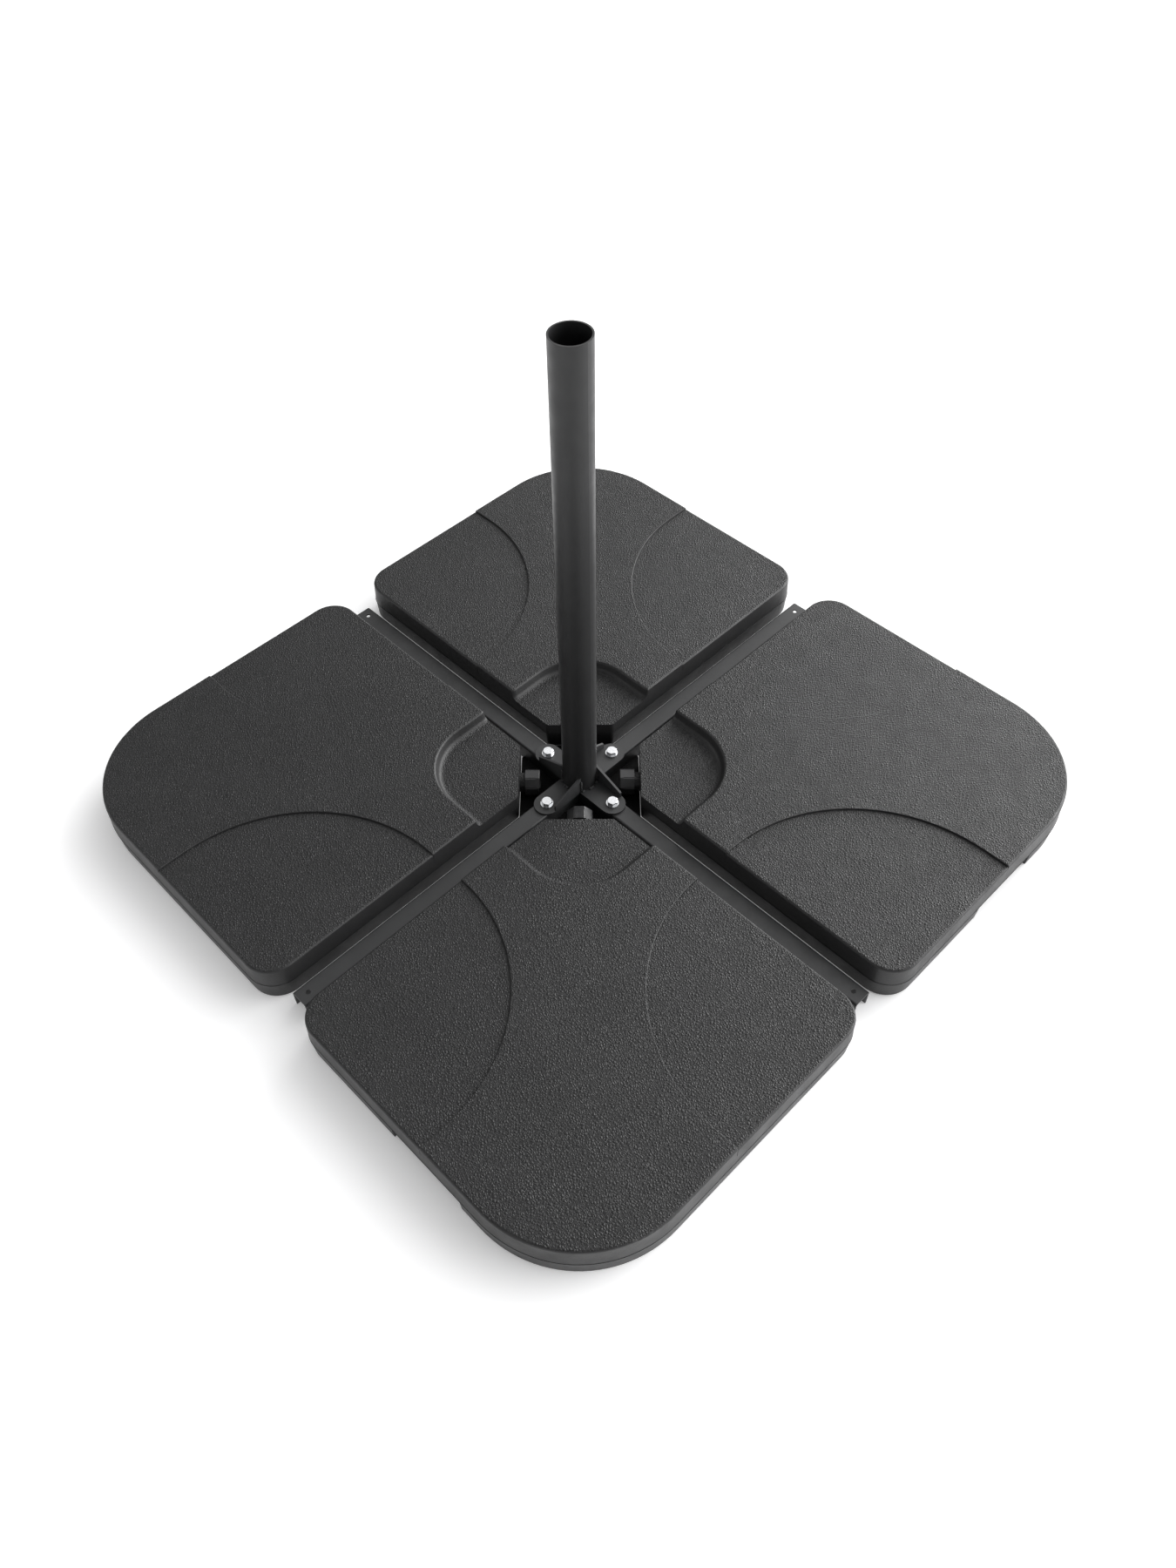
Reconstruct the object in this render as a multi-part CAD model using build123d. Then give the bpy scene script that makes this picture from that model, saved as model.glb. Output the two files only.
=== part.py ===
from build123d import *
import os
from math import cos, radians, sin, sqrt, tan

os.makedirs("parts", exist_ok=True)

# Parasol base. Millimetres, +Z up the mast, origin at the centre of the cross on the ground.
# The arms of the cross run along X and Y, and one fillable weight lies in each quarter.

# ---- weights ----
half_width = 500.0          # centre of the cross to a weight's outer wall
gap_half = 25.0             # centre of an arm to the weight's inner wall
lobe_top = 57.5             # height of the two side fields of the top
band_top = 60.0             # height of the raised diagonal band
recess_floor = 45.0         # height of the sunk platform at the inner corner
seam_height = 27.0          # mould parting line, the widest level
draft_up = 2.6              # degrees, wall above the parting line
draft_down = 3.0            # degrees, wall below it
outer_corner_r = 150.0
side_corner_r = 40.0
chamfer_corner_r = 8.0
chamfer_distance = 81.0     # centre of the cross to the flat cut of the inner corner
rim_r = 3.5                 # rounding of the top edge
foot_edge_r = 2.0           # rounding of the bottom edge
flash_proud = 0.35          # mould flash along the parting line
flash_height = 1.0
wall = 3.0                  # moulded wall thickness
floor_wall = 5.0            # bottom wall, before the sunk underside panel
panel_inset = 32.0
panel_depth = 2.0
arc_r = 226.0               # rounding of the step between band and side field
arc_inner = 236.0           # where the step meets the inner wall
arc_outer = 257.0           # where the step meets the outer wall
step_edge_r = 1.0           # rounding of the step's upper edge
recess_reach = 157.0        # platform edge, at its floor
recess_r = 79.0
recess_draft = 17.0
recess_foot_r = 8.0         # rounding where its wall meets the platform
recess_end_r = 14.0         # rounding where its wall meets the weight's inner walls
grip_centre = 262.0         # middle of the hand grip along the outer wall
grip_half = 57.0
grip_depth = 22.0
grip_r = 14.0

# ---- filler neck, cap and seal ----
neck_z = 20.5
neck_r = 13.0
neck_bore_r = 10.0
neck_end = 59.0             # distance of the neck's mouth from the centre of the cross
cap_start = 54.0
cap_length = 20.0
cap_flats = 34.0
cap_wall = 3.0
seal_thickness = 2.0
seal_bore_r = 9.0
thread_gap = 0.08

# ---- sand ----
sand_gap = 0.2
sand_level = 50.0

# ---- cross bars ----
bar_width = 26.0
bar_height = 26.0
bar_sheet = 2.0
bar_fold_r = 3.0
bar_half_length = 475.0
lap_gap = 0.15
hub_plate_sheet = 2.0
hub_plate_flat = 82.0       # centre to each of the four long edges, parallel to the weights' chamfers
hub_plate_reach = 100.0     # centre to each blunt corner, under an arm
end_hole_radius = 3.25
end_hole_reach = 461.0

# ---- mast and foot ----
mast_r = 23.0
mast_wall = 2.0
mast_top = 690.0
bracket_sheet = 3.0
bracket_half = 17.5
bolt_reach = 62.0
gusset_high = 55.0
gusset_low = 37.0
weld_gap = 0.03

# ---- M8 fasteners ----
bolt_r = 4.0
bolt_hole_r = 4.5
bolt_length = 16.0
head_flats = 13.0
head_height = 5.3
washer_r = 8.5
washer_hole_r = 4.2
washer_thickness = 1.6
nut_height = 6.5
fastener_gap = 0.03


def rounded_face(points, radii, z=0.0):
    """A flat face through the points, each corner rounded by its own radius."""
    edges = []
    ends = []
    count = len(points)
    for i in range(count):
        corner = Vector(points[i][0], points[i][1], z)
        before = Vector(points[i - 1][0], points[i - 1][1], z)
        after = Vector(points[(i + 1) % count][0], points[(i + 1) % count][1], z)
        if radii[i] <= 0:
            ends.append((corner, corner))
            continue
        to_before = (before - corner).normalized()
        to_after = (after - corner).normalized()
        half = radians(to_before.get_angle(to_after)) / 2
        reach = radii[i] / tan(half)
        middle = (to_before + to_after).normalized() * (radii[i] / sin(half) - radii[i])
        start = corner + to_before * reach
        stop = corner + to_after * reach
        edges.append(ThreePointArc(start, corner + middle, stop))
        ends.append((start, stop))
    for i in range(count):
        start = ends[i][1]
        stop = ends[(i + 1) % count][0]
        if (stop - start).length > 1e-6:
            edges.append(Line(start, stop))
    return make_face(edges)


def weight_outline(inset, z):
    """Plan of a weight in the (+X, +Y) quarter, moved inwards by inset."""
    near = gap_half + inset
    far = half_width - inset
    total = (chamfer_distance + inset) * sqrt(2)
    points = [(near, total - near), (total - near, near), (far, near), (far, far), (near, far)]
    small = max(chamfer_corner_r - inset, 0)
    side = max(side_corner_r - inset, 4)
    return rounded_face(points, [small, small, side, outer_corner_r - inset, side], z)


def upper_block(inset, top):
    """The weight above the parting line, up to one level."""
    return extrude(weight_outline(inset, seam_height), amount=top - seam_height, taper=draft_up)


def with_rim(block, radius):
    """Round every edge of a block's level top."""
    return fillet(block.edges().group_by(Axis.Z)[-1], radius=radius)


def lobe_tool(mirror, inset):
    """Everything above one side field of the top."""
    inner = arc_inner - inset
    outer = arc_outer + inset
    points = [(inner, -10), (560, -10), (560, outer), (inner, outer)]
    tool = extrude(rounded_face(points, [0, 0, 0, arc_r + inset], 30), amount=60)
    if mirror:
        tool = tool.mirror(Plane(origin=(0, 0, 0), z_dir=(1, -1, 0)))
    return tool


def recess_tool(inset, floor):
    """The space above the sunk platform, opening out upwards and rounded out at both ends."""
    reach = recess_reach + inset
    end = gap_half - 6.0 + inset
    far = reach + 40
    points = [(-60, -60), (far, -60), (far, end), (reach, end), (reach, reach),
              (end, reach), (end, far), (-60, far)]
    radii = [0, 0, 0, recess_end_r, recess_r + inset, recess_end_r, 0, 0]
    tool = extrude(rounded_face(points, radii, floor), amount=40, taper=-recess_draft)
    foot = tool.edges().group_by(Axis.Z)[0].filter_by(
        lambda e: e.center().X + e.center().Y > reach and max(e.center().X, e.center().Y) < reach + 8
    )
    return fillet(foot, radius=recess_foot_r)


def grip_tool(inset):
    """The hand grip cut in the lower half of the outer wall."""
    inner = half_width - grip_depth - inset
    low = grip_centre - grip_half - inset
    high = grip_centre + grip_half + inset
    points = [(inner, low), (540, low), (540, high), (inner, high)]
    tool = extrude(rounded_face(points, [grip_r, 0, 0, grip_r], -5), amount=seam_height + 5 + inset)
    top_edges = tool.edges().group_by(Axis.Z)[-1].filter_by(lambda e: e.center().X < 539)
    return fillet(top_edges, radius=5.0)


def weight_body(inset, sink, bottom):
    """A weight's form with its side walls moved inwards by inset and its top lowered by sink."""
    rim = max(rim_r - sink, 1.0)
    floor = recess_floor - sink
    fields = lobe_tool(False, sink) + lobe_tool(True, sink)
    band = with_rim(upper_block(inset, band_top - sink) - recess_tool(sink, floor), rim) - fields
    if sink == 0:
        step = band.edges().filter_by(
            lambda e: abs(e.center().Z - band_top) < 0.3 and 290 < max(e.center().X, e.center().Y) < 320
        )
        band = fillet(step, radius=step_edge_r)
    lobes = with_rim(upper_block(inset, lobe_top - sink), rim) & fields
    platform = with_rim(upper_block(inset, floor), rim)
    drop = seam_height - bottom
    plan = weight_outline(inset, seam_height)
    lower = extrude(plan, amount=drop, dir=(0, 0, -1), taper=draft_down)
    return band + lobes + platform + lower - grip_tool(inset)


def along_diagonal(shape, distance):
    """Stand a shape built up +Z onto the filler axis, pointing away from the mast."""
    turned = Rot(0, 0, 45) * Rot(0, 90, 0) * shape
    shift = distance / sqrt(2)
    return Pos(shift, shift, neck_z) * turned


def ring(outer, inner, height):
    return Cylinder(outer, height, align=(Align.CENTER, Align.CENTER, Align.MIN)) - Cylinder(
        inner, height, align=(Align.CENTER, Align.CENTER, Align.MIN)
    )


def rod(radius, height):
    return Cylinder(radius, height, align=(Align.CENTER, Align.CENTER, Align.MIN))


def mould_flash():
    """Fine ridge left by the joint of the two mould halves, except at the hand grip and the filler."""
    base = seam_height - flash_height / 2
    band = Pos(0, 0, base) * extrude(weight_outline(0, 0), amount=flash_height)
    inside = Pos(0, 0, base - 1) * extrude(weight_outline(2 * flash_proud, 0), amount=flash_height + 2)
    filler_side = Rot(0, 0, 45) * Box(2 * chamfer_distance + 6, 300, 80)
    return band - inside - grip_tool(0) - filler_side


def weight_shell():
    """Hollow blow-moulded weight with its filler neck and an underside panel."""
    outer = weight_body(flash_proud, 0, 0)
    outer = fillet(outer.edges().group_by(Axis.Z)[0], radius=foot_edge_r) + mould_flash()
    neck = rod(neck_r, chamfer_distance + wall / 2 - neck_end)
    outer = outer + along_diagonal(neck, neck_end)
    shell = outer - weight_body(wall, wall, floor_wall)
    shell = shell - along_diagonal(rod(neck_bore_r, 40), neck_end - 5)
    return shell - extrude(weight_outline(panel_inset, 0), amount=panel_depth)


def sand_fill():
    """Settled sand inside the shell, level on top."""
    sand = weight_body(wall + sand_gap, wall + sand_gap, floor_wall + sand_gap)
    above = Pos(300, 300, sand_level) * Box(700, 700, 40, align=(Align.CENTER, Align.CENTER, Align.MIN))
    return sand - above


def octagon_prism(flats, height, corner_r):
    """Eight-sided prism standing on its base, one flat towards +X."""
    reach = flats / 2 / cos(radians(22.5))
    points = []
    for i in range(8):
        turn = radians(22.5 + 45 * i)
        points.append((reach * cos(turn), reach * sin(turn)))
    return extrude(rounded_face(points, [corner_r] * 8), amount=height)


def filler_cap():
    """Cup-shaped screw cap, closed end towards the mast."""
    cap = octagon_prism(cap_flats, cap_length, 2.5)
    cap = fillet(cap.edges().group_by(Axis.Z)[0], radius=1.6)
    cap = cap - Pos(0, 0, -1) * rod(10.0, 1.8)
    bore_r = neck_r + thread_gap
    cap = cap - Pos(0, 0, cap_wall) * rod(bore_r, cap_length)
    for i in range(8):
        turn = 22.5 + 45 * i
        groove = Pos(cap_flats / 2 / cos(radians(22.5)) + 1.5, 0, 5) * rod(2.2, cap_length)
        cap = cap - Rot(0, 0, turn) * groove
    return along_diagonal(cap, cap_start)


def cap_seal():
    seal = ring(neck_r, seal_bore_r, seal_thickness)
    return along_diagonal(seal, cap_start + cap_wall)


def cross_bar():
    """One inverted-U bar along X with a hole near each end."""
    half = bar_width / 2
    inside = half - bar_sheet
    under = bar_height - bar_sheet
    points = [
        (-half, 0), (-half, bar_height), (half, bar_height), (half, 0),
        (inside, 0), (inside, under), (-inside, under), (-inside, 0),
    ]
    inner_r = bar_fold_r - bar_sheet
    radii = [0, bar_fold_r, bar_fold_r, 0, 0, inner_r, inner_r, 0]
    bar = extrude(rounded_face(points, radii), amount=2 * bar_half_length)
    bar = Pos(-bar_half_length, 0, 0) * Rot(0, 0, 90) * Rot(90, 0, 0) * bar
    for side in (-1, 1):
        bar = bar - Pos(side * end_hole_reach, 0, 20) * rod(end_hole_radius, 10)
        bar = bar - Pos(side * bolt_reach, 0, 20) * rod(bolt_hole_r, 10)
    return bar


def hub_plate(grow):
    """Square plate with blunt corners that closes the hub below the crossing."""
    side = 2 * (hub_plate_flat + grow)
    reach = 2 * (hub_plate_reach + grow)
    corner = (Align.CENTER, Align.CENTER, Align.MIN)
    turned = Rot(0, 0, 45) * Box(side, side, hub_plate_sheet, align=corner)
    return turned & Box(reach, reach, hub_plate_sheet, align=corner)


def upper_bar():
    """Runs along X over the lower bar: its side walls are notched from below."""
    slot = bar_width + 2 * lap_gap
    return cross_bar() - Box(slot, 40, bar_height) - hub_plate(lap_gap)


def lower_bar():
    """Runs along Y under the upper bar: its top and upper side walls are cut away."""
    slot = bar_width + 2 * lap_gap
    bar = cross_bar() - Pos(0, 0, bar_height) * Box(slot, 40, bar_height) - hub_plate(lap_gap)
    return Rot(0, 0, 90) * bar


def mast_tube():
    return Pos(0, 0, bar_height) * ring(mast_r, mast_r - mast_wall, mast_top - bar_height)


def foot_bracket():
    """Round-ended tab along +X with a gusset folded up at its +Y edge."""
    base = bar_height
    tab = Pos(bolt_reach / 2, 0, base) * Box(
        bolt_reach, 2 * bracket_half, bracket_sheet, align=(Align.CENTER, Align.CENTER, Align.MIN)
    )
    tab = tab + Pos(bolt_reach, 0, base) * rod(bracket_half, bracket_sheet)
    sector = make_face(Polyline((0.1, 0), (120.1, 120), (120.1, -120), (0.1, 0)))
    tab = tab & (Pos(0, 0, base - 1) * extrude(sector, amount=bracket_sheet + 2))
    inner_y = bracket_half - bracket_sheet
    points = [
        (5, base), (bolt_reach, base), (bolt_reach, gusset_low), (18, gusset_high), (5, gusset_high + 5.6),
    ]
    gusset = extrude(rounded_face(points, [0, 0, 2.5, 0, 0]), amount=bracket_sheet)
    gusset = Pos(0, inner_y + bracket_sheet, 0) * Rot(90, 0, 0) * gusset
    below = Pos(0, 0, base + bracket_sheet / 2) * Box(36, 60, bracket_sheet)
    gusset = gusset - (below - Pos(0, 0, base - 2) * extrude(sector, amount=bracket_sheet + 4))
    bracket = tab + gusset
    bracket = bracket - Pos(0, 0, base - 5) * rod(mast_r + weld_gap, 80)
    bracket = bracket - Pos(bolt_reach, 0, base - 5) * rod(bolt_hole_r, 12)
    return bracket


def hex_prism(flats, height):
    reach = flats / 2 / cos(radians(30))
    points = [(reach * cos(radians(60 * i)), reach * sin(radians(60 * i))) for i in range(6)]
    return extrude(make_face(Polyline(*points, close=True)), amount=height)


def chamfered_hex(flats, height, both):
    """Hexagon with the turned chamfer that leaves arcs on its flats."""
    top_r = flats / 2 * 0.97
    blank = hex_prism(flats, height)
    rise = (flats / 2 / cos(radians(30)) - top_r) * 0.577
    lid = Pos(0, 0, height - rise) * Cone(
        top_r + rise / 0.577, top_r, rise, align=(Align.CENTER, Align.CENTER, Align.MIN)
    )
    body = rod(flats, height - rise) + lid
    blank = blank & body
    if both:
        blank = blank & (Pos(0, 0, height) * Rot(180, 0, 0) * body)
    return blank


def foot_bolt():
    seat = bar_height + bracket_sheet + washer_thickness
    shank = Pos(0, 0, seat - bolt_length) * rod(bolt_r - fastener_gap, bolt_length)
    shank = chamfer(shank.edges().group_by(Axis.Z)[0], length=0.8)
    return shank + Pos(0, 0, seat) * chamfered_hex(head_flats, head_height, False)


def foot_nut():
    nut = chamfered_hex(head_flats, nut_height, True) - Pos(0, 0, -1) * rod(bolt_r, nut_height + 2)
    return Pos(0, 0, bar_height - bar_sheet - nut_height) * nut


def foot_washer():
    return Pos(0, 0, bar_height + bracket_sheet) * ring(washer_r, washer_hole_r, washer_thickness)


def four_around(shape, turn):
    """The same fastener on each arm, each left at its own angle by the spanner."""
    copies = []
    for i in range(4):
        copies.append(Rot(0, 0, 90 * i) * Pos(bolt_reach, 0, 0) * Rot(0, 0, turn * (i + 1)) * shape)
    return Compound(children=copies)


def write(name, shape):
    shape.label = name
    solids = shape.solids()
    box = shape.bounding_box()
    print(name, len(solids), "solids", round(shape.volume / 1000, 2), "cm3",
          [round(v, 1) for v in (*box.min, *box.max)])
    export_step(shape, "parts/" + name + ".step")


write("cross_bar_lower", lower_bar())
write("cross_bar_upper", upper_bar())
write("hub_plate", hub_plate(0))
write("mast_tube", mast_tube())
bracket = foot_bracket()
for turn, side in enumerate(["plus_x", "plus_y", "minus_x", "minus_y"]):
    write("foot_bracket_" + side, Rot(0, 0, 90 * turn) * bracket)
write("foot_bolts", four_around(foot_bolt(), 17.0))
write("foot_washers", four_around(foot_washer(), 0.0))
write("foot_nuts", four_around(foot_nut(), 11.0))

shell = weight_shell()
sand = sand_fill()
cap = filler_cap()
seal = cap_seal()
for turn, side in enumerate(["right", "back", "left", "front"]):
    turned = Rot(0, 0, 90 * turn)
    write("weight_shell_" + side, turned * shell)
    write("sand_fill_" + side, turned * sand)
    write("filler_cap_" + side, turned * cap)
    write("cap_seal_" + side, turned * seal)
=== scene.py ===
from math import cos, pi, radians, sin

import bpy
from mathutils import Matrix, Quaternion, Vector


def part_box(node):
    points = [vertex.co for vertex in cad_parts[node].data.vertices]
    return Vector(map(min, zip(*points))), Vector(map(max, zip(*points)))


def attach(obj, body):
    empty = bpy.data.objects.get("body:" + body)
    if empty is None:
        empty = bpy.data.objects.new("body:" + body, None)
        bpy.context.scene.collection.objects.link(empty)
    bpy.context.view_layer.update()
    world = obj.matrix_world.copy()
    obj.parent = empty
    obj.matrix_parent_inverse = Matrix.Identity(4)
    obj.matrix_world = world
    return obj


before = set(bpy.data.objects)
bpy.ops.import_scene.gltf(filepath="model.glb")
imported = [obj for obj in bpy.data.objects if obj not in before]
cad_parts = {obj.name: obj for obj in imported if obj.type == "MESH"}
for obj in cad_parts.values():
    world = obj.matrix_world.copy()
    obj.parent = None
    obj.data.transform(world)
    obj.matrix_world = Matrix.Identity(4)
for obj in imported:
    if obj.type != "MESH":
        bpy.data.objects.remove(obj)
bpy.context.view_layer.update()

SIDES = ("right", "back", "left", "front")
ARMS = ("plus_x", "plus_y", "minus_x", "minus_y")
MM = 0.001

# Every length is in metres. The cross lies on the ground with the mast at the origin.
MAST_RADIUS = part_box("mast_tube")[1].x
TAB_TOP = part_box("foot_washers")[0].z

# ---- stage ----
FLOOR_HALF = 14.0
FLOOR_DROP = 0.4 * MM           # the floor lies just under the feet, so that nothing flickers
FLOOR_GLOW = 0.22               # keeps the shadows light

# ---- light ----
AMBIENT = 0.01
PANEL_HALF_ANGLE = 38
# Soft panels far away: azimuth from +X towards +Y, elevation, strength.
PANELS = [
    (45, 8, 6.6), (90, 8, 6.2), (80, 32, 2.9),      # key, low behind the right weight
    (120, 32, 0.9), (200, 32, 0.6),                 # sheen on the tops from behind
    (25, 55, 0.9), (140, 60, 0.6), (0, 90, 0.35),   # high and overhead
    (225, 4, 0.9), (270, 4, 0.9), (315, 4, 0.9),    # low fill from the front and the left
]

# ---- camera ----
LENS = 27.87
SENSOR = 36.0
SHIFT = (0.018, 0.0024)
CAMERA_PLACE = (-43.89, 51.65, 1.6748)              # azimuth, elevation, distance from the origin
CAMERA_AIM = (-0.0243, -0.0154, 0.0)
CAMERA_ROLL = -2.42

# ---- welds: angles round the mast from the arm's own direction, and places along the gusset ----
TAB_BEAD = 2.3 * MM
TAB_BEAD_ARCS = [(-41, -27), (-13, 9), (21, 30)]
GUSSET_BEAD = 1.5 * MM
GUSSET_BEAD_FOOT = 31.0
GUSSET_BEADS = [(18.6, 13.9, 51.0), (15.2, 18.0, 49.0)]     # reach along the arm, offset, top, in mm
BEAD_PITCH = 1.5 * MM
BEAD_SIDES = 14


# ---------------------------------------------------------------- node helpers

class Tree:
    """A material's node tree with short calls for the nodes that the finishes use."""

    def __init__(self, name):
        self.material = bpy.data.materials.new(name)
        self.material.use_nodes = True
        self.nodes = self.material.node_tree.nodes
        self.links = self.material.node_tree.links
        self.shader = self.nodes["Principled BSDF"]
        self.place = self.nodes.new("ShaderNodeTexCoord").outputs["Object"]

    def feed(self, socket, value):
        """Link a node's output to a socket, or set the socket to a constant."""
        if isinstance(value, bpy.types.NodeSocket):
            self.links.new(value, socket)
        else:
            socket.default_value = value

    def noise(self, scale, detail=2.0, rough=0.5):
        node = self.nodes.new("ShaderNodeTexNoise")
        self.feed(node.inputs["Vector"], self.place)
        node.inputs["Scale"].default_value = scale
        node.inputs["Detail"].default_value = detail
        node.inputs["Roughness"].default_value = rough
        return node.outputs["Fac"]

    def cells(self, scale, place=None, feature="DISTANCE_TO_EDGE"):
        node = self.nodes.new("ShaderNodeTexVoronoi")
        node.feature = feature
        self.feed(node.inputs["Vector"], place or self.place)
        node.inputs["Scale"].default_value = scale
        return node.outputs["Distance"]

    def math(self, operation, first, second=0.0, third=0.0):
        node = self.nodes.new("ShaderNodeMath")
        node.operation = operation
        self.feed(node.inputs[0], first)
        self.feed(node.inputs[1], second)
        self.feed(node.inputs[2], third)
        return node.outputs[0]

    def spread(self, value, low, high, from_low=0.0, from_high=1.0):
        """Map a value onto low to high, held at both ends."""
        node = self.nodes.new("ShaderNodeMapRange")
        self.feed(node.inputs["Value"], value)
        node.inputs["From Min"].default_value = from_low
        node.inputs["From Max"].default_value = from_high
        self.feed(node.inputs["To Min"], low)
        self.feed(node.inputs["To Max"], high)
        return node.outputs["Result"]

    def colours(self, value, stops):
        """A colour ramp with (position, (r, g, b)) stops."""
        node = self.nodes.new("ShaderNodeValToRGB")
        self.feed(node.inputs["Fac"], value)
        elements = node.color_ramp.elements
        while len(elements) < len(stops):
            elements.new(0.5)
        for element, (position, colour) in zip(elements, stops):
            element.position = position
            element.color = (*colour, 1.0)
        return node.outputs["Color"]

    def blend(self, share, first, second):
        """The first colour where share is 0, the second where it is 1."""
        node = self.nodes.new("ShaderNodeMix")
        node.data_type = "RGBA"
        self.feed(node.inputs["Factor"], share)
        self.feed(node.inputs["A"], first)
        self.feed(node.inputs["B"], second)
        return node.outputs["Result"]

    def warped(self, scale, amount):
        """The object's coordinates pushed about by noise, so that a pattern isn't regular."""
        noise = self.nodes.new("ShaderNodeTexNoise")
        self.feed(noise.inputs["Vector"], self.place)
        noise.inputs["Scale"].default_value = scale
        push = self.nodes.new("ShaderNodeVectorMath")
        push.operation = "MULTIPLY_ADD"
        self.feed(push.inputs[0], noise.outputs["Color"])
        push.inputs[1].default_value = (amount,) * 3
        self.feed(push.inputs[2], self.place)
        return push.outputs[0]

    def facing_up(self):
        """0 on a wall and 1 on a level top, from the surface's own normal."""
        normal = self.nodes.new("ShaderNodeNewGeometry").outputs["Normal"]
        split = self.nodes.new("ShaderNodeSeparateXYZ")
        self.feed(split.inputs[0], normal)
        return self.spread(split.outputs["Z"], 0.0, 1.0, 0.75, 0.985)

    def bump(self, height, distance, strength=1.0, under=None):
        node = self.nodes.new("ShaderNodeBump")
        node.inputs["Distance"].default_value = distance
        self.feed(node.inputs["Strength"], strength)
        self.feed(node.inputs["Height"], height)
        if under is not None:
            self.feed(node.inputs["Normal"], under)
        return node.outputs["Normal"]

    def finish(self, **sockets):
        """Set the shader's sockets, named with underscores for spaces."""
        for name, value in sockets.items():
            self.feed(self.shader.inputs[name.replace("_", " ")], value)
        return self.material


# ---------------------------------------------------------------- materials

def weight_plastic():
    """Blow-moulded black plastic: leather grain on the top, fine stipple on the walls. The walls are
    coloured lighter than the tops as painted light, and the grain's creases on the tops are darkened as
    painted shade.
    """
    tree = Tree("weight_plastic")
    up = tree.facing_up()
    place = tree.warped(260.0, 0.0016)
    pebbles = tree.spread(tree.cells(330.0, place), 0.0, 1.0, 0.02, 0.42)
    fine = tree.noise(900.0, 3.0, 0.6)
    grain = tree.math("MULTIPLY_ADD", fine, 0.35, pebbles)
    sag = tree.bump(tree.noise(7.0, 1.0), 0.0012, 1.0)
    grained = tree.bump(grain, 0.00058, tree.spread(up, 0.12, 1.0), sag)
    cloud = tree.noise(11.0, 4.0, 0.55)
    # darkening along the creases between the pebbles, on the tops only: painted shade
    crease_painted_shade = tree.math("MULTIPLY", tree.spread(pebbles, 1.0, 0.0), up)
    shade = tree.math("MULTIPLY_ADD", crease_painted_shade, -0.25, cloud)
    # the tops take the darker colour and the walls a lighter one, chosen by which way the surface faces:
    # painted light on the walls, over the random cloud in tone
    top = tree.colours(shade, [(0.1, (0.0072, 0.0072, 0.0075)), (0.8, (0.0135, 0.0135, 0.0139))])
    side = tree.colours(cloud, [(0.3, (0.015, 0.015, 0.0155)), (0.7, (0.020, 0.020, 0.0205))])
    rough = tree.spread(tree.noise(34.0, 3.0), 0.42, 0.54, 0.3, 0.7)
    return tree.finish(Base_Color=tree.blend(up, side, top), Roughness=rough, Normal=grained,
                       Specular_IOR_Level=0.4)


def grey_powder_coat(name="grey_powder_coat", painted_shade_factor=1.0):
    """Satin grey powder coat with its slight orange peel. The second argument scales how light it is; the
    mast's darker copy is painted shade, since the upright tube gets less light from above than the arms.
    """
    tree = Tree(name)
    peel = tree.noise(520.0, 2.0, 0.45)
    grit = tree.noise(2600.0, 1.0)
    lumps = tree.math("MULTIPLY_ADD", grit, 0.3, peel)
    cloud = tree.noise(16.0, 4.0, 0.6)
    thin = (0.030 * painted_shade_factor, 0.0305 * painted_shade_factor, 0.0315 * painted_shade_factor)
    thick = (0.040 * painted_shade_factor, 0.0405 * painted_shade_factor, 0.0415 * painted_shade_factor)
    colour = tree.colours(cloud, [(0.25, thin), (0.75, thick)])
    rough = tree.spread(tree.noise(60.0, 3.0), 0.36, 0.47, 0.3, 0.7)
    return tree.finish(Base_Color=colour, Roughness=rough, Normal=tree.bump(lumps, 0.00006, 0.7),
                       Specular_IOR_Level=0.45)


def hub_painted_shade():
    """Matt near-black colour on the sheet that closes the hub: painted shade, standing in for the deep
    shadow inside the hub.
    """
    tree = Tree("matt_black_primer")
    cloud = tree.noise(40.0, 4.0, 0.6)
    # near-black colour ramp: painted shade for the shadow in the hub
    colour = tree.colours(cloud, [(0.3, (0.0035, 0.0035, 0.0036)), (0.7, (0.0060, 0.0060, 0.0062))])
    rough = tree.spread(tree.noise(90.0, 3.0), 0.70, 0.82, 0.3, 0.7)
    return tree.finish(Base_Color=colour, Roughness=rough, Normal=tree.bump(cloud, 0.0001, 0.4),
                       Specular_IOR_Level=0.2)


def bright_zinc():
    """Zinc-plated steel, slightly cloudy, with faint forging marks."""
    tree = Tree("bright_zinc")
    cloud = tree.noise(420.0, 3.0, 0.6)
    colour = tree.colours(cloud, [(0.3, (0.62, 0.63, 0.65)), (0.7, (0.82, 0.83, 0.84))])
    rough = tree.spread(tree.noise(900.0, 2.0), 0.18, 0.34, 0.3, 0.7)
    marks = tree.bump(tree.noise(1500.0, 2.0), 0.00004, 0.6)
    return tree.finish(Base_Color=colour, Metallic=1.0, Roughness=rough, Normal=marks)


def cap_plastic():
    """Injection-moulded cap: smoother and a little glossier than the weights."""
    tree = Tree("cap_plastic")
    cloud = tree.noise(70.0, 3.0)
    colour = tree.colours(cloud, [(0.3, (0.018, 0.018, 0.019)), (0.7, (0.027, 0.027, 0.028))])
    rough = tree.spread(tree.noise(140.0, 2.0), 0.30, 0.40, 0.3, 0.7)
    return tree.finish(Base_Color=colour, Roughness=rough,
                       Normal=tree.bump(tree.noise(1800.0, 2.0), 0.00005, 0.5))


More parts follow.
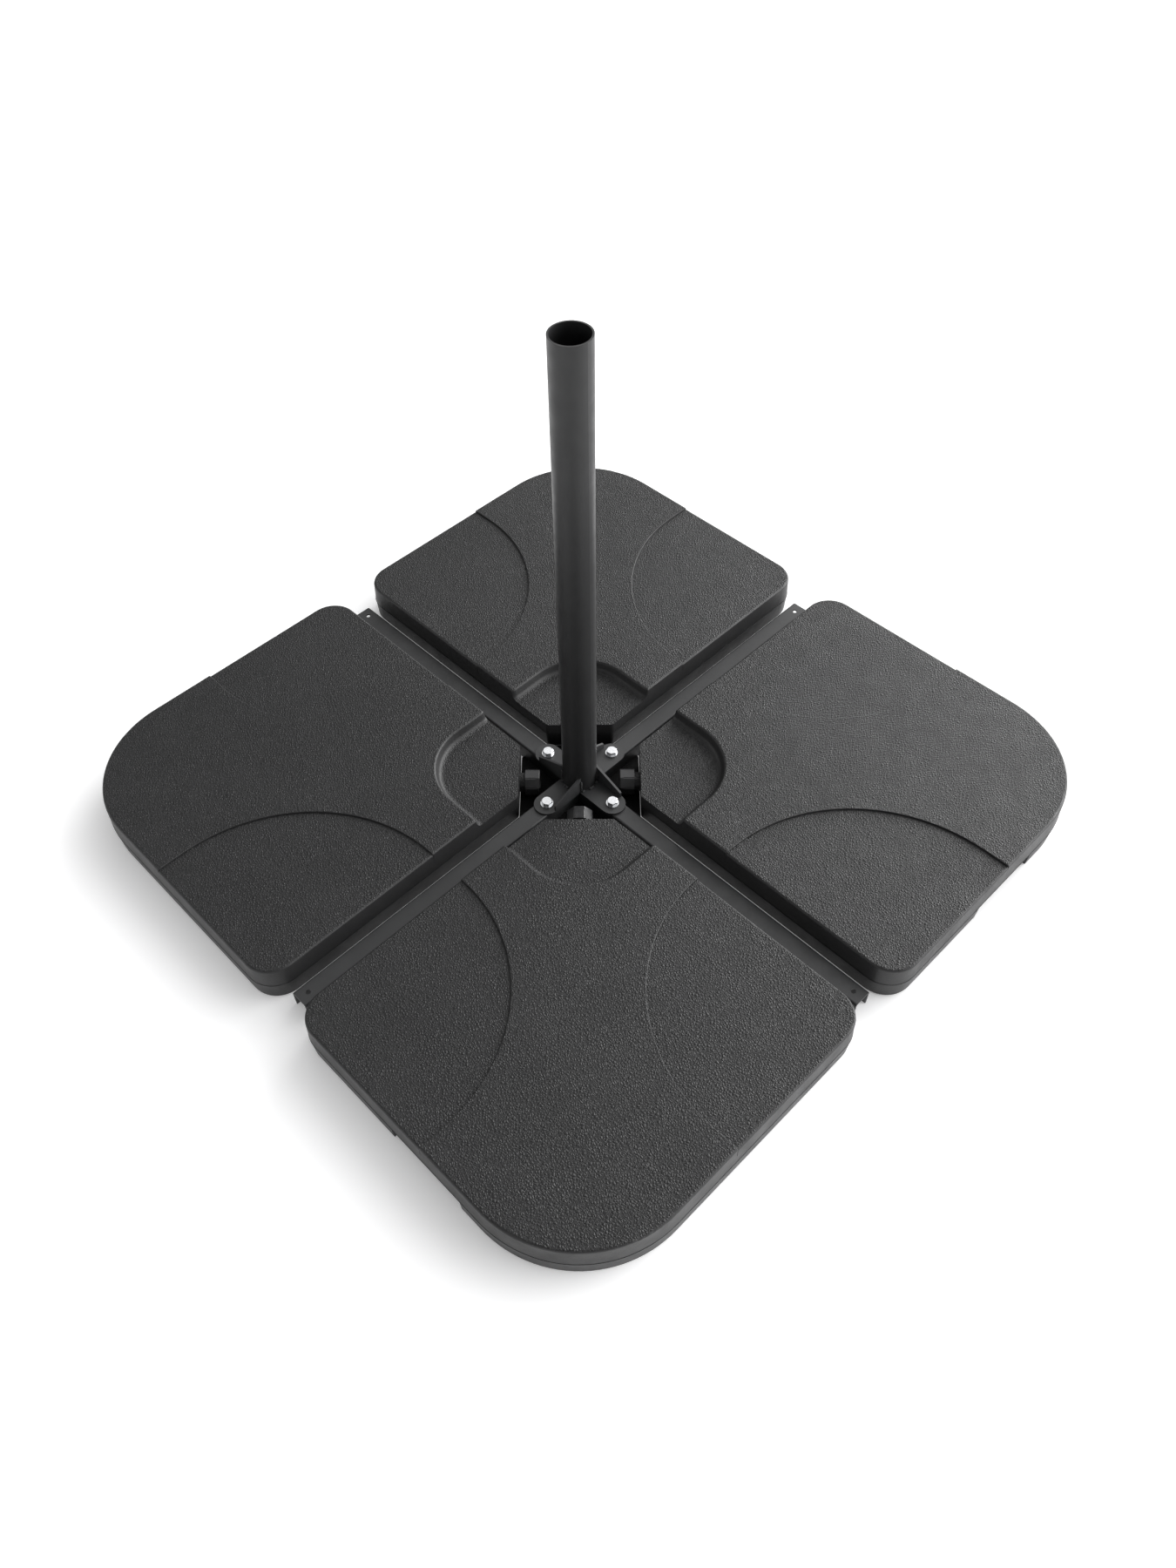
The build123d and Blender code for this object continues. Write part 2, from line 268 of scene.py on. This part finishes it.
def dry_sand():
    """Dry building sand, grain by grain."""
    tree = Tree("sand")
    grains = tree.cells(1400.0, feature="F1")
    drift = tree.noise(30.0, 3.0)
    mixed = tree.math("MULTIPLY_ADD", drift, 0.6, grains)
    colour = tree.colours(mixed, [(0.15, (0.24, 0.17, 0.09)), (0.5, (0.46, 0.35, 0.20)),
                                  (0.9, (0.62, 0.52, 0.36))])
    return tree.finish(Base_Color=colour, Roughness=tree.spread(drift, 0.85, 0.95),
                       Normal=tree.bump(grains, 0.0004, 0.8))


def seal_rubber():
    """Soft black ring seal with a matt bloom."""
    tree = Tree("seal_rubber")
    bloom = tree.noise(300.0, 3.0)
    colour = tree.colours(bloom, [(0.3, (0.010, 0.010, 0.010)), (0.8, (0.024, 0.024, 0.025))])
    return tree.finish(Base_Color=colour, Roughness=tree.spread(bloom, 0.62, 0.78),
                       Normal=tree.bump(bloom, 0.00005, 0.5))


def floor_paper():
    """Plain pale studio floor, which glows faintly so that the shadows stay light."""
    tree = Tree("floor_paper")
    cloud = tree.noise(1.3, 2.0)
    colour = tree.colours(cloud, [(0.2, (0.925, 0.925, 0.93)), (0.8, (0.94, 0.94, 0.945))])
    return tree.finish(Base_Color=colour, Roughness=0.9, Specular_IOR_Level=0.1,
                       Emission_Color=(1.0, 1.0, 1.0, 1.0), Emission_Strength=FLOOR_GLOW)


# ---------------------------------------------------------------- stage, light and camera

def make_floor():
    half = FLOOR_HALF
    mesh = bpy.data.meshes.new("floor")
    corners = [(-half, -half, 0), (half, -half, 0), (half, half, 0), (-half, half, 0)]
    mesh.from_pydata(corners, [], [(0, 1, 2, 3)])
    mesh.materials.append(floor_paper())
    floor = bpy.data.objects.new("floor", mesh)
    bpy.context.scene.collection.objects.link(floor)
    floor.location.z = -FLOOR_DROP


def around(azimuth, elevation, distance):
    """A point seen from the origin: azimuth in degrees from +X towards +Y."""
    level = distance * cos(radians(elevation))
    return Vector((level * cos(radians(azimuth)), level * sin(radians(azimuth)),
                   distance * sin(radians(elevation))))


def make_world():
    """A little even light, the soft panels, and a backdrop that the camera sees as white."""
    world = bpy.data.worlds.new("studio")
    world.use_nodes = True
    nodes = world.node_tree.nodes
    links = world.node_tree.links
    direction = nodes.new("ShaderNodeTexCoord").outputs["Generated"]
    total = None
    for azimuth, elevation, strength in PANELS:
        facing = nodes.new("ShaderNodeVectorMath")
        facing.operation = "DOT_PRODUCT"
        links.new(direction, facing.inputs[0])
        facing.inputs[1].default_value = around(azimuth, elevation, 1.0)
        panel = nodes.new("ShaderNodeMapRange")
        panel.interpolation_type = "SMOOTHSTEP"
        links.new(facing.outputs["Value"], panel.inputs["Value"])
        panel.inputs["From Min"].default_value = cos(radians(PANEL_HALF_ANGLE))
        panel.inputs["To Max"].default_value = strength
        summed = nodes.new("ShaderNodeMath")
        links.new(panel.outputs["Result"], summed.inputs[0])
        summed.inputs[1].default_value = AMBIENT
        if total is not None:
            links.new(total, summed.inputs[1])
        total = summed.outputs[0]
    seen = nodes.new("ShaderNodeLightPath").outputs["Is Camera Ray"]
    backdrop = nodes.new("ShaderNodeMath")
    backdrop.operation = "MAXIMUM"
    links.new(total, backdrop.inputs[0])
    links.new(seen, backdrop.inputs[1])
    background = nodes["Background"]
    background.inputs["Color"].default_value = (1.0, 1.0, 1.0, 1.0)
    links.new(backdrop.outputs[0], background.inputs["Strength"])
    bpy.context.scene.world = world


def make_camera():
    """Above the front weight, looking down at the foot of the mast."""
    camera = bpy.data.cameras.new("camera")
    camera.lens = LENS
    camera.sensor_width = SENSOR
    camera.shift_x, camera.shift_y = SHIFT
    camera.clip_start = 0.05
    camera.clip_end = 60.0
    place = bpy.data.objects.new("camera", camera)
    place.location = around(*CAMERA_PLACE)
    level = (Vector(CAMERA_AIM) - place.location).to_track_quat("-Z", "Y")
    roll = Quaternion((0, 0, 1), radians(CAMERA_ROLL))
    place.rotation_mode = "QUATERNION"
    place.rotation_quaternion = level @ roll
    bpy.context.scene.collection.objects.link(place)
    bpy.context.scene.camera = place


# ---------------------------------------------------------------- weld beads at the mast's foot

def add_bead(vertices, faces, path, radius):
    """A welded bead along a path: overlapping ripples, rounded off at both ends."""
    count = len(path)
    length = sum((path[i + 1] - path[i]).length for i in range(count - 1))
    travelled = 0.0
    base = len(vertices)
    for i, point in enumerate(path):
        if i:
            travelled += (point - path[i - 1]).length
        ahead = (path[min(i + 1, count - 1)] - path[max(i - 1, 0)]).normalized()
        side = ahead.cross(Vector((0.3, 0.2, 1.0))).normalized()
        up = side.cross(ahead)
        ripple = abs(cos(pi * travelled / BEAD_PITCH + 0.6 * sin(9.0 * i / count)))
        to_end = min(travelled, length - travelled)
        cap = sin(min(to_end / radius, 1.0) * pi / 2)
        swell = radius * (0.84 + 0.16 * ripple) * (0.25 + 0.75 * cap)
        swell *= 1.0 + 0.10 * sin(2.3 * travelled / radius + len(path))
        for k in range(BEAD_SIDES):
            turn = 2 * pi * k / BEAD_SIDES
            vertices.append(point + side * (swell * cos(turn)) + up * (swell * sin(turn)))
    for i in range(count - 1):
        for k in range(BEAD_SIDES):
            a = base + i * BEAD_SIDES + k
            b = base + i * BEAD_SIDES + (k + 1) % BEAD_SIDES
            faces.append((a, b, b + BEAD_SIDES, a + BEAD_SIDES))
    faces.append(tuple(base + k for k in reversed(range(BEAD_SIDES))))
    faces.append(tuple(base + (count - 1) * BEAD_SIDES + k for k in range(BEAD_SIDES)))


def make_welds(coat):
    """Fillet welds that hold each bracket's tab and gusset to the tube, one piece for each bracket."""
    ring = MAST_RADIUS + 0.6 * MM
    level = TAB_TOP + 0.5 * MM
    for quarter, arm in enumerate(ARMS):
        vertices = []
        faces = []
        for start, stop in TAB_BEAD_ARCS:
            steps = int((stop - start) / 0.9)
            path = []
            for i in range(steps + 1):
                turn = radians(start + (stop - start) * i / steps + 90 * quarter)
                wander = 0.25 * MM * sin(2.1 * i + quarter)
                path.append(Vector(((ring + wander) * cos(turn), (ring + wander) * sin(turn), level)))
            add_bead(vertices, faces, path, TAB_BEAD)
        for reach, offset, top in GUSSET_BEADS:
            path = []
            for i in range(61):
                height = (GUSSET_BEAD_FOOT + (top - GUSSET_BEAD_FOOT) * i / 60) * MM
                turn = radians(90 * quarter)
                x = reach * MM + 0.2 * MM * sin(1.7 * i + quarter)
                y = offset * MM
                path.append(Vector((x * cos(turn) - y * sin(turn), x * sin(turn) + y * cos(turn), height)))
            add_bead(vertices, faces, path, GUSSET_BEAD)
        mesh = bpy.data.meshes.new("foot_weld_" + arm)
        mesh.from_pydata(vertices, [], faces)
        mesh.materials.append(coat)
        for face in mesh.polygons:
            face.use_smooth = True
        weld = bpy.data.objects.new("foot_weld_" + arm, mesh)
        bpy.context.scene.collection.objects.link(weld)
        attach(weld, "frame")


# ---------------------------------------------------------------- finish the CAD pieces

def dress(node, material):
    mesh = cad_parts[node].data
    mesh.materials.clear()
    mesh.materials.append(material)


def dress_all():
    coat = grey_powder_coat()
    zinc = bright_zinc()
    shell = weight_plastic()
    cap = cap_plastic()
    sand = dry_sand()
    rubber = seal_rubber()
    # the sheet under the hub is near black: painted shade for the hub's deep shadow
    dress("hub_plate", hub_painted_shade())
    # the mast takes the same coat at 0.45 of its lightness: painted shade on the upright tube
    dress("mast_tube", grey_powder_coat("mast_powder_coat_painted_shade", 0.45))
    for node in ["cross_bar_lower", "cross_bar_upper"]:
        dress(node, coat)
    for arm in ARMS:
        dress("foot_bracket_" + arm, coat)
    for node in ["foot_bolts", "foot_washers", "foot_nuts"]:
        dress(node, zinc)
    for side in SIDES:
        dress("weight_shell_" + side, shell)
        dress("sand_fill_" + side, sand)
        dress("filler_cap_" + side, cap)
        dress("cap_seal_" + side, rubber)
    make_welds(coat)


make_camera()
make_floor()
make_world()
dress_all()

bpy.context.scene.view_settings.view_transform = "Standard"
